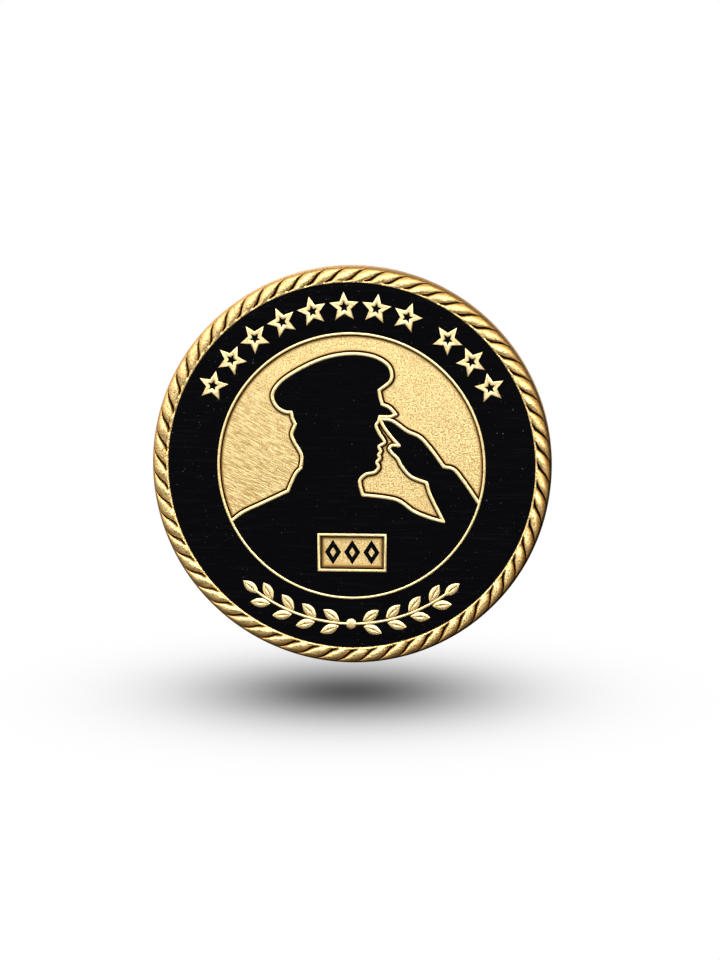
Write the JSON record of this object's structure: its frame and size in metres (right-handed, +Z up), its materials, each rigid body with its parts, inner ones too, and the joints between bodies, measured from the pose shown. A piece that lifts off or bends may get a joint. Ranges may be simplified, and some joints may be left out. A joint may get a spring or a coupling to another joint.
{
  "type": "challenge coin",
  "caption": "Round struck metal coin with rope rims, a raised saluting figure in a capped uniform, stars and laurel, and black enamel fills.",
  "frame": {"origin": "under the lowest flat of the coin's edge, halfway through its thickness", "axes": "+Z up as the faces are read, -Y out of the obverse, +Y out of the reverse, +X to the right of a reader of the obverse"},
  "size_m": [0.0444, 0.0032, 0.0444],
  "materials": {
    "antique_gold_plate": "antique gold plate on struck metal, satin and grained, dark in the recesses",
    "black_enamel": "cured black enamel with a soft gloss"
  },
  "bodies": {
    "root": {"struck_body": "antique_gold_plate", "obverse_band_enamel": "black_enamel", "figure_enamel": "black_enamel", "star_enamel_01": "black_enamel", "star_enamel_02": "black_enamel", "star_enamel_03": "black_enamel", "star_enamel_04": "black_enamel", "star_enamel_05": "black_enamel", "star_enamel_06": "black_enamel", "star_enamel_07": "black_enamel", "star_enamel_08": "black_enamel", "star_enamel_09": "black_enamel", "star_enamel_10": "black_enamel", "star_enamel_11": "black_enamel", "plate_mark_enamel_left": "black_enamel", "plate_mark_enamel_middle": "black_enamel", "plate_mark_enamel_right": "black_enamel", "reverse_band_enamel": "black_enamel", "reverse_star_enamel_1": "black_enamel", "reverse_star_enamel_2": "black_enamel", "reverse_star_enamel_3": "black_enamel", "reverse_star_enamel_4": "black_enamel", "reverse_star_enamel_5": "black_enamel"}
  },
  "joints": []
}
